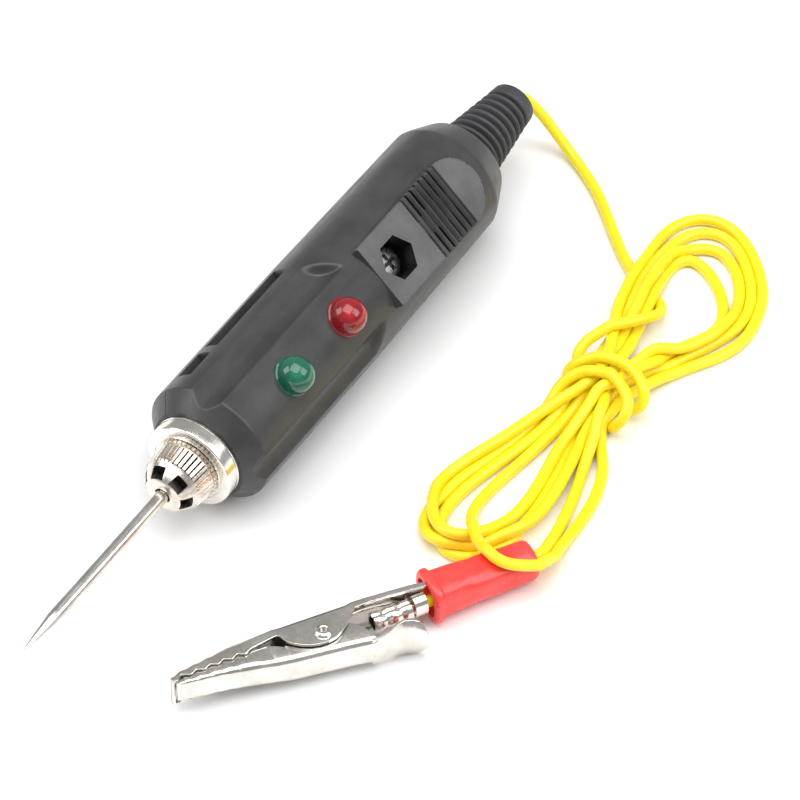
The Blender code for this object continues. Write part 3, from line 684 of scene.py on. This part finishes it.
def housing(plastic, pad_plastic, dark):
    upper = shell("housing_upper", -90.0, 90.0, True, plastic, pad_plastic)
    holes = [upright(turned(((5.0, LAMP_R + 0.08), (12.0, LAMP_R + 0.08)), 48), x) for x in (GREEN_X, RED_X)]
    holes.append(prism(hexagon(HEX_FLATS, SCREW_X), HEX_FLOOR, 12.0))
    cutter = joined(holes)
    bmesh.ops.transform(cutter, matrix=PEN, verts=cutter.verts)
    cut(upper, cutter)
    # Third finish of the upper shell: near-black painted shade for its recesses.
    upper.data.materials.append(dark)
    tint_pad(upper)
    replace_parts(upper, "upper_shell")
    lower = shell("housing_lower", 90.0, 270.0, False, plastic, pad_plastic)
    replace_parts(lower, "lower_shell")
    outer = hexagon(HEX_FLATS + 0.8, SCREW_X)
    inner = hexagon(HEX_FLATS + 0.02, SCREW_X)
    levels = ((outer, HEX_FLOOR - 0.4), (outer, 8.6), (inner, 8.6), (inner, HEX_FLOOR))
    well = capped([[(px, py, z) for px, py in outline] for outline, z in levels])
    # The well's walls are near-black painted shade.
    piece("screw_well", well, PEN, "tester", dark)
    # A near-black sheet under each side slot: painted shadow inside the slots.
    shade_sheets = []
    for side in (-1, 1):
        for start, end in SLOT_SPANS:
            loops = []
            for i in range(9):
                a = math.radians(90 * side + 13.0 * (i / 4 - 1))
                r = BARREL_R - SLOT_DEPTH + 0.06
                loop = [(start + 0.35, r), (end - 0.35, r), (end - 0.35, r - 0.4), (start + 0.35, r - 0.4)]
                loops.append([(px, -pr * math.sin(a), pr * math.cos(a)) for px, pr in loop])
            shade_sheets.append(capped(loops))
    piece("slot_shadow_sheet", joined(shade_sheets), PEN, "tester", dark)


def screw(steel):
    low = HEX_FLOOR + 0.02
    profile = [(low, 0.0), (low, 2.35), (low + 0.5, 2.4)]
    profile += arc(low + 0.9, 1.7, 0.7, 90, 20) + [(low + 1.65, 0.9), (low + 1.68, 0.0)]
    head = piece("pad_screw", upright(turned(profile, 48), SCREW_X), PEN, "tester", steel)
    for size in ((1.35, 0.3), (0.3, 1.35)):
        outline = [(SCREW_X - size[0], -size[1]), (SCREW_X + size[0], -size[1])]
        outline += [(SCREW_X + size[0], size[1]), (SCREW_X - size[0], size[1])]
        form = prism(outline, low + 0.5, low + 3.0)
        bmesh.ops.transform(form, matrix=PEN, verts=form.verts)
        cut(head, form)
    return head


def collar(chrome):
    profile = [(-2.4, 3.1), (-2.4, 4.85), (-2.25, 4.95), (-2.25, 5.15), (-2.4, 5.25)]
    profile += arc(-2.1, COLLAR_R - 0.3, 0.3, 180, 90)
    profile += [(-1.3, COLLAR_R), (-0.45, COLLAR_R), (-0.35, COLLAR_R - 0.12)]
    profile += [(-0.25, COLLAR_R - 0.12), (-0.15, COLLAR_R), (0.1, COLLAR_R), (0.1, 3.1), (-2.4, 3.1)]
    made = piece("chrome_collar", turned(profile, 96), PEN, "tester", chrome)
    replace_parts(made, "front_collar")


def nose_cap(nickel, dark):
    """Knurled clamping cap with a slotted cone."""

    def knurled(x, r, a):
        if not (-3.03 < x < -2.45 or -6.15 < x < -3.3) or r < 3.9:
            return r
        t = (a * KNURLS / (2 * math.pi)) % 1.0
        return r - 0.4 * (1 - eased(abs(t - 0.5), 0.04, 0.17))

    profile = [(-2.42, 4.2), (-2.44, 4.6), (-2.52, 4.75), (-3.0, 4.75), (-3.06, 4.6), (-3.1, 4.4)]
    profile += [(-3.24, 4.4), (-3.28, 4.55), (-3.36, 4.68), (-4.4, 4.52), (-5.4, 4.38), (-6.0, 4.3)]
    profile += [(-6.2, 4.12), (-6.45, 3.98), (-7.0, 3.68), (-7.6, 3.34), (-8.1, 3.02), (-8.4, 2.7)]
    profile += [(-8.58, 2.25), (-8.64, 1.7), (-8.5, 1.2)]
    profile += [(-8.2, 1.05), (-7.4, 1.05), (-6.6, 2.2), (-2.42, 3.1), (-2.42, 4.2)]
    made = piece("clamp_cap", turned(profile, KNURLS * 10, knurled), PEN, "nose_cap", nickel)
    front, rear = CAP_SLOT_SPAN
    slots = []
    for i in range(CAP_SLOTS):
        form = prism([(front, -1.0), (rear, -1.0), (rear, 1.0), (front, 1.0)], 2.3, 6.0)
        turn = Matrix.Rotation(math.radians(CAP_SLOT_TURN + 360 * i / CAP_SLOTS), 4, "X")
        bmesh.ops.transform(form, matrix=turn, verts=form.verts)
        slots.append(form)
    cutter = joined(slots)
    bmesh.ops.transform(cutter, matrix=PEN, verts=cutter.verts)
    cut(made, cutter)
    # Faces inside the cone's slots and the knurl grooves get near-black painted shade.
    made.data.materials.append(dark)
    inward = PEN.inverted()
    skin = [(-8.64, 1.7), (front, 2.75), (rear, 3.76), (-6.2, 4.12), (-3.36, 4.68), (-3.24, 4.4)]
    skin.append((-2.44, 4.7))
    for face in made.data.polygons:
        x, y, z = inward @ face.center
        depth = between(skin, x) - math.hypot(y, z)
        in_slot = front - 0.01 < x < rear + 0.01 and 0.12 < depth < 1.6
        in_groove = x > -6.1 and 0.17 < depth < 0.8
        if in_slot or in_groove:
            face.material_index = 1
    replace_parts(made, "nose_cap")


def needle(steel):
    profile = [(NEEDLE_TIP, 0.0), (NEEDLE_TIP + 0.02, 0.08), (NEEDLE_TIP + 0.3, 0.17), (-37.5, 0.52)]
    profile += [(-34.2, 0.88), (-33.6, 0.93), (-32.8, 0.95), (-9.0, 0.95), (8.4, 0.95), (8.4, 0.0)]
    made = piece("needle", turned(profile, 40), PEN, "collet", steel)
    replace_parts(made, "probe_needle")


def lamp(name, node, x, clear, metal_finish):
    """A 5 mm lamp in its hole, with the cup and post inside the resin."""
    rim = BARREL_R + 0.05
    profile = [(4.0, 0.0), (4.0, LAMP_R), (rim - 0.5, LAMP_R), (rim - 0.45, 2.8), (rim, 2.82)]
    profile.append((rim + 0.12, LAMP_R + 0.03))
    profile += arc(LAMP_CENTRE, 0.0, LAMP_R, 90, 0, 18)[:-1] + [(LAMP_CENTRE + LAMP_R, 0.0)]
    lens_piece = piece(name, upright(turned(profile, 48), x), PEN, "tester", clear)
    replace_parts(lens_piece, node)
    cup = [(7.2, 0.0), (7.2, 1.0), (9.2, 1.05), (9.8, 1.15), (9.8, 0.95), (9.35, 0.5), (9.35, 0.0)]
    piece(name + "_cup", upright(turned(cup, 32), x + 0.55), PEN, "tester", metal_finish)
    post = [(-0.35, -0.35), (0.35, -0.35), (0.35, 0.35), (-0.35, 0.35)]
    form = prism([(x - 1.15 + px, py) for px, py in post], 7.2, 9.9)
    piece(name + "_post", form, PEN, "tester", metal_finish)


def strain_relief(rubber):
    pitch = (RELIEF_END - 2.5 - RELIEF_START) / RELIEF_RIDGES
    profile = [(59.5, 1.0), (59.5, 5.0), (61.2, 5.0), (61.2, 3.7), (65.4, 3.7)]
    for i in range(RELIEF_RIDGES):
        start = RELIEF_START + i * pitch
        top = 5.05 - 1.5 * i / RELIEF_RIDGES
        for t, drop in RIDGE:
            profile.append((start + t * pitch, top - drop * (1 - 0.3 * i / RELIEF_RIDGES)))
    ring = RELIEF_END - 2.4
    profile += [(ring, 2.9), (ring + 0.15, 3.3)] + arc(ring + 0.5, 3.2, 0.35, 180, 90, 3)
    profile += arc(RELIEF_END - 0.4, 3.0, 0.4, 80, 0, 4)
    profile += [(RELIEF_END, 1.3), (RELIEF_END - 0.6, 0.95), (59.5, 1.0)]
    made = piece("cord_sleeve", turned(profile, 72), PEN, "tester", rubber)
    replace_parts(made, "strain_relief")


# ---------------------------------------------------------------- clip


def channel(outer, inner, low, top, side, spacing):
    """A bent sheet with a web on one side and a wall above and below.

    outer is the web's line and inner the walls' free edge, as tables of (x, y). low and top are tables of
    (x, z). side is 1 where the web is towards +Y, and -1 where it is towards -Y.
    """
    start, end = outer[0][0], outer[-1][0]
    count = round((end - start) / spacing)
    loops = []
    for i in range(count + 1):
        x = start + (end - start) * i / count
        web = between(outer, x)
        edge = between(inner, x)
        middle = (between(top, x) + between(low, x)) / 2
        height = (between(top, x) - between(low, x)) / 2
        corner = min(0.95, 0.45 * abs(web - edge))
        paths = []
        for inset in (0.0, SHEET):
            high = height - inset
            bend = max(0.08, corner - inset)
            wall = web - side * inset
            path = [(edge, high), ((edge + wall - side * bend) / 2, high)]
            for step in range(6):
                a = math.radians(90 - 18 * step)
                across = wall - side * bend + side * bend * math.cos(a)
                path.append((across, high - bend + bend * math.sin(a)))
            path += [(wall, high / 3), (wall, 0.0), (wall, -high / 3)]
            path += [(y, -z) for y, z in reversed(path[:8])]
            paths.append(path)
        loop = paths[0] + list(reversed(paths[1]))
        loops.append([(x, y, z + middle) for y, z in loop])
    return capped(loops)


def toothed(base, rise, start, count):
    points = []
    for i in range(count):
        x = start + i * TOOTH_PITCH
        points += [(x, base), (x + TOOTH_PITCH * 0.42, base + rise), (x + TOOTH_PITCH * 0.58, base + rise)]
    points.append((start + count * TOOTH_PITCH, base))
    return points


def cable_jaw(steel):
    outer = [(-20.9, 2.0), (-20.4, 2.2), (-19.3, 2.62), (-12.2, 3.72), (-5.1, 3.75), (5.9, 3.3)]
    outer += [(13.6, 2.45), (15.4, 2.15)]
    inner = [(-20.9, 1.25), (-20.2, 1.1), (-19.4, 1.85)] + toothed(1.72, -0.42, -19.2, 5)
    inner += [(-9.2, 1.8), (-7.5, 2.0), (-5.75, 2.2), (-5.3, 1.9), (-4.95, 0.7), (-4.3, 0.0), (-3.5, -0.65)]
    inner += [(-2.4, -1.25), (-1.2, -1.6), (0.0, -1.68), (1.1, -1.5), (2.1, -1.0), (3.0, -0.4), (4.2, 0.65)]
    inner += [(5.0, 1.5), (5.6, 1.95), (7.8, 1.95), (10.7, 1.66), (13.1, 1.38), (15.4, 1.1)]
    low = [(-20.9, 1.6), (-18.0, 1.0), (-12.0, 0.5), (15.4, 0.5)]
    top = [(-20.9, 6.35), (-18.0, 6.4), (15.4, 6.4)]
    form = channel(outer, inner, low, top, 1.0, 0.16)
    tip = prism([(-20.9, 1.2), (-20.5, 1.2), (-20.5, 2.1), (-20.9, 1.95)], 1.7, 6.3)
    jaw = piece("jaw_with_cord", joined([form, tip]), CLIP, "tester", steel)
    return [softened(jaw, 0.07)]


def free_jaw(steel):
    outer = [(-20.5, 0.55), (-20.0, 0.62), (-14.3, -0.2), (-5.1, -2.15), (2.6, -3.35), (5.9, -4.0)]
    inner = [(-20.5, 0.95), (-19.3, 1.35)] + toothed(1.52, -0.38, -19.2, 5)
    inner += [(-9.2, 1.55), (-7.4, 1.6), (-6.6, 1.3), (-5.4, 0.5), (-3.2, 0.9), (-1.3, 1.6)]
    inner += [(0.0, 2.0), (1.3, 1.6), (2.2, 1.2), (4.2, 0.2), (5.1, -0.9), (5.6, -1.9), (5.9, -3.0)]
    low = [(-20.5, 3.0), (-19.6, 2.6), (-14.0, 2.1), (-5.0, 1.3), (5.9, 1.15)]
    top = [(-20.5, 6.1), (-14.0, 6.05), (-9.5, 5.95), (-7.5, 5.75), (5.9, 5.75)]
    form = channel(outer, inner, low, top, -1.0, 0.16)
    tip = prism([(-20.5, 0.6), (-20.15, 0.65), (-20.15, 1.1), (-20.5, 0.92)], 3.1, 6.0)
    jaw = piece("jaw_that_opens", joined([form, tip]), CLIP, "free_jaw", steel)
    line = [(5.2, -3.72, 2.3), (6.6, -3.85, 2.4), (7.9, -3.95, 2.75), (9.0, -4.15, 3.1), (10.2, -4.45, 3.3)]
    line += [(11.2, -4.85, 3.32), (12.0, -5.25, 3.1), (12.5, -5.5, 2.6), (12.7, -5.62, 1.9)]
    loops = []
    for x, y, high in line:
        curl = 1.15 * eased(x, 6.6, 10.5)
        front = []
        back = []
        for i in range(13):
            t = -1 + i / 6
            bow = curl * t * t
            front.append((x - 0.2 * t * t * (x > 10), y + bow, CLIP_MIDDLE + high * t))
            back.append((x - 0.2 * t * t * (x > 10), y + bow + SHEET, CLIP_MIDDLE + high * t))
        loops.append(front + list(reversed(back)))
    tail = piece("thumb_tail", capped(loops), CLIP, "free_jaw", steel)
    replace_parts(jaw, "clip_free_jaw")
    return [softened(jaw, 0.07), softened(tail, 0.09)]


def clip_insides(steel, copper, yellow):
    """Rivet, spring, crimp barrel and the stripped end of the cord."""
    top = 2 * CLIP_MIDDLE - 0.02
    rivet = [(0.1, 0.0), (0.1, 0.9), (0.25, 1.12), (0.5, 1.15), (0.5, 0.8), (top - 0.5, 0.8)]
    rivet += [(top - 0.5, 1.15), (top - 0.25, 1.1), (top - 0.05, 0.9), (top, 0.72), (top - 0.05, 0.55)]
    rivet += [(top - 0.2, 0.45), (top - 2.2, 0.42), (top - 2.2, 0.0)]
    made = [piece("rivet", upright(turned(rivet, 40)), CLIP, "tester", steel)]
    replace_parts(made[0], "clip_rivet")
    coil = [(10.8, 2.15, 4.5), (8.0, 2.55, 4.55), (5.0, 2.5, 4.6), (2.6, 1.9, 4.7)]
    helix = []
    for i in range(96):
        a = math.radians(55) - 2 * math.pi * i / 24
        helix.append((1.38 * math.cos(a), 1.38 * math.sin(a), 4.75 - 2.6 * i / 96))
    coil += helix[:80]
    arm = helix[76:] + [(2.4, -1.5, 2.15), (4.6, -2.5, 2.4), (6.6, -3.2, 2.7)]
    made.append(tube("spring", smooth_route(coil, 0.3), 0.3, CLIP, "tester", steel))
    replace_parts(made[-1], "clip_spring")
    made.append(tube("spring_arm", smooth_route(arm, 0.3), 0.3, CLIP, "free_jaw", steel))
    middle = (0.6, CLIP_MIDDLE + 0.25)

    def crimped(x, r, a):
        pinch = 0.18 * math.exp(-(((x - 9.0) / 0.35) ** 2)) + 0.18 * math.exp(-(((x - 11.2) / 0.35) ** 2))
        seam = 0.22 * math.exp(-((((a + math.pi) % (2 * math.pi) - math.pi) / 0.22) ** 2))
        return r - (pinch + seam) * (r > 1.0)

    barrel = [(7.3, 0.95), (7.3, 1.32), (7.45, 1.4)]
    barrel += [(7.8 + 0.3 * i, 1.38) for i in range(16)]
    barrel += [(12.7, 1.4), (12.85, 1.3), (12.85, 0.95), (7.3, 0.95)]
    form = turned(barrel, 48, crimped)
    bmesh.ops.translate(form, verts=form.verts, vec=(0, *middle))
    made.append(piece("crimp", form, CLIP, "tester", steel))
    tabs = []
    for side in (-1, 1):
        loops = []
        for i in range(9):
            a = math.radians(8 + 168 * i / 8) * side
            y = 0.8 + 1.25 * math.sin(a)
            z = CLIP_MIDDLE - 0.1 - 1.55 * math.cos(a)
            thick = 0.36
            loops.append([(13.2, y, z), (15.0, y, z), (15.0, y, z + thick), (13.2, y, z + thick)])
        tabs.append(capped(loops))
    made.append(softened(piece("tabs", joined(tabs), CLIP, "tester", steel), 0.06))
    for strand in range(5):
        path = []
        for i in range(10):
            a = 2 * math.pi * strand / 5 + 0.35 * i
            spread = 0.28 + 0.04 * max(0, 4 - i)
            across = middle[0] + spread * math.cos(a)
            path.append((11.4 + 0.25 * i, across, middle[1] + spread * math.sin(a)))
        route = smooth_route(path, 0.15)
        made.append(tube("strand_%d" % strand, route, 0.17, CLIP, "tester", copper, 3))
    wire = [(14.8, *middle), (16.0, 0.8, 3.6), (17.5, 0.95, 3.5), (22.0, 1.4, 3.2)]
    wire += [(27.0, 1.7, 3.0), (BOOT_REAR - 0.1, 1.7, 3.0)]
    made.append(tube("cord_in_clip", smooth_route(wire, 0.8), CORD_R, CLIP, "tester", yellow))
    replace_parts(made[-1], "clip_wire")
    return made


def boot(red):
    """Creased sleeve of rounded square section, with a rim in front."""
    line = [(15.6, 2.55), (15.58, 3.0), (15.68, 3.3), (15.9, 3.5), (16.4, 3.56), (16.75, 3.46), (16.95, 3.2)]
    line += [(17.15, 3.02)] + [(17.6 + 0.55 * i, 3.0 - 0.012 * i) for i in range(24)]
    line += [(30.7, 2.68), (31.1, 2.5), (31.28, 2.2), (31.3, 1.5), (31.25, 0.9), (30.0, 0.88), (27.0, 0.9)]
    line += [(24.0, 1.9), (19.0, 2.5), (15.6, 2.55)]
    loops = []
    for x, r in line:
        share = eased(x, 17.0, BOOT_REAR)
        loop = []
        for i in range(64):
            a = 2 * math.pi * i / 64
            c, s = math.cos(a), math.sin(a)
            square = (abs(c) ** 3.4 + abs(s) ** 3.4) ** (-1 / 3.4)
            shape = 1 + (square * 0.93 - 1) * (1 - 0.45 * share)
            dent = 0.0
            if 17.3 < x < 30.5 and r > 2.5:
                fade = math.sin(math.pi * (x - 17.3) / 13.2)
                dent += 0.16 * fade * math.exp(-(((a - 0.9 - 0.035 * (x - 17)) / 0.16) ** 2))
                dent += 0.13 * fade * math.exp(-(((a - 2.5 + 0.03 * (x - 17)) / 0.2) ** 2))
                dent += 0.1 * fade * math.cos(2 * a + 0.5 * x) ** 2
                dent += 0.1 * math.exp(-(((x - 21.5 - 1.6 * c) / 0.5) ** 2)) * (s > 0)
                dent += 0.08 * math.exp(-(((x - 26.5 + 1.2 * c) / 0.45) ** 2)) * (s > 0)
            y = 1.55 + 0.15 * share + (r * shape - dent) * c
            z = 3.5 - 0.5 * share + (r * shape - dent) * s * 0.985
            loop.append((x, y, max(0.04, z)))
        loops.append(loop)
    form = bmesh.new()
    rings(form, loops)
    bmesh.ops.remove_doubles(form, verts=form.verts, dist=1e-4)
    made = piece("boot", form, CLIP, "tester", red)
    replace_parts(made, "clip_boot")
    return made


# ---------------------------------------------------------------- bench, lights and camera


def studio():
    half = 1.6
    mesh = bpy.data.meshes.new("bench")
    corners = [(-half, -half, 0), (half, -half, 0), (half, half, 0), (-half, half, 0)]
    mesh.from_pydata(corners, [], [(0, 1, 2, 3)])
    mesh.materials.append(floor_paint())
    floor = bpy.data.objects.new("bench", mesh)
    bpy.context.collection.objects.link(floor)
    world = bpy.data.worlds.new("room")
    world.use_nodes = True
    world.node_tree.nodes["Background"].inputs["Color"].default_value = (1.0, 1.0, 1.0, 1.0)
    world.node_tree.nodes["Background"].inputs["Strength"].default_value = 0.38
    bpy.context.scene.world = world
    for name, place, size, power in (
        ("overhead", (-0.05, 0.0, 1.05), 1.0, 9.5),
        ("left_softbox", (-0.5, 0.85, 0.7), 0.7, 4.5),
        ("front_softbox", (0.25, -0.8, 0.75), 0.7, 5.0),
    ):
        lamp_data = bpy.data.lights.new(name, "AREA")
        lamp_data.shape = "SQUARE"
        lamp_data.size = size
        lamp_data.energy = power
        light = bpy.data.objects.new(name, lamp_data)
        light.location = place
        light.rotation_euler = (-Vector(place)).to_track_quat("-Z", "Y").to_euler()
        bpy.context.collection.objects.link(light)
    data = bpy.data.cameras.new("camera")
    data.lens = CAMERA_LENS
    data.clip_start = 0.01
    camera = bpy.data.objects.new("camera", data)
    camera.location = CAMERA_AT
    camera.rotation_euler = Euler([math.radians(a) for a in CAMERA_TURN])
    bpy.context.collection.objects.link(camera)
    bpy.context.scene.camera = camera
    bpy.context.scene.view_settings.view_transform = "Standard"


# ---------------------------------------------------------------- assembly

studio()

plastic = moulded("housing_plastic", (0.034, 0.034, 0.035), (0.055, 0.054, 0.054), 0.36, 0.10)
pad_plastic = moulded("pad_plastic", (0.085, 0.085, 0.09), (0.14, 0.14, 0.145), 0.5, 0.3)
# Near-black painted shade for the housing's recesses: rib grooves, hexagon recess, screw well and side slots.
painted_shade_plastic = moulded("painted_recess_shade", (0.003, 0.003, 0.0035), (0.007, 0.007, 0.008), 0.5, 0.0)
rubber = moulded("sleeve_rubber", (0.035, 0.035, 0.038), (0.06, 0.06, 0.064), 0.55, 0.1)
chrome = metal("collar_chrome", (0.95, 0.92, 0.87), (0.82, 0.78, 0.72), 0.17, (0.3, 3.0, 3.0), dents=0.05)
nickel = metal("cap_nickel", (0.93, 0.88, 0.81), (0.74, 0.67, 0.59), 0.24, dents=0.05)
steel = metal("needle_steel", (0.88, 0.86, 0.83), (0.66, 0.62, 0.57), 0.18, (0.2, 4.0, 4.0))
clip_steel = metal("clip_nickel", (0.92, 0.89, 0.85), (0.72, 0.68, 0.62), 0.17)
# Near-black painted shade for the nose cap's slots and knurl grooves.
painted_shade_metal = metal("painted_slot_and_groove_shade", (0.10, 0.09, 0.085), (0.03, 0.028, 0.026), 0.4)
screw_steel = metal("recessed_steel", (0.42, 0.42, 0.43), (0.15, 0.15, 0.15), 0.25)
brass = metal("turned_brass", (0.78, 0.58, 0.28), (0.5, 0.34, 0.15), 0.3)
copper = metal("copper_strands", (0.86, 0.45, 0.26), (0.6, 0.25, 0.12), 0.3)
green = lens("green_resin", (0.01, 0.16, 0.09), (0.02, 0.26, 0.15))
red = lens("red_resin", (0.35, 0.008, 0.015), (0.55, 0.015, 0.03))
yellow = vinyl("yellow_vinyl", (0.97, 0.74, 0.012), (1.0, 0.84, 0.02), 0.3, 0.1)
boot_red = vinyl("red_vinyl", (0.90, 0.05, 0.045), (0.98, 0.08, 0.07), 0.2, 0.2, pits=0.06)
laminate = moulded("board_green", (0.02, 0.12, 0.05), (0.04, 0.2, 0.09), 0.45, 0.0)
resistor = moulded("resistor_tan", (0.45, 0.32, 0.17), (0.62, 0.47, 0.28), 0.4, 0.0)

ground_cord, cord_length, cord_exit = cord(yellow)

housing(plastic, pad_plastic, painted_shade_plastic)
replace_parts(screw(screw_steel), "housing_screw")
collar(chrome)
nose_cap(nickel, painted_shade_metal)
needle(steel)
lamp("green_lamp", "led_green", GREEN_X, green, steel)
lamp("red_lamp", "led_red", RED_X, red, steel)
strain_relief(rubber)

clip_pieces = cable_jaw(clip_steel)
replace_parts(clip_pieces[0], "clip_cable_jaw")
clip_pieces += free_jaw(clip_steel)
clip_pieces += clip_insides(clip_steel, copper, yellow)
clip_pieces.append(boot(boot_red))

for node, finish in (
    ("housing_nut", steel),
    ("collet", brass),
    ("circuit_board", laminate),
    ("resistor_green", resistor),
    ("resistor_red", resistor),
    ("contact_spring", steel),
    ("core_wire", copper),
    ("cord_inner", yellow),
):
    frame["nodes"][node].material_slots[0].material = finish
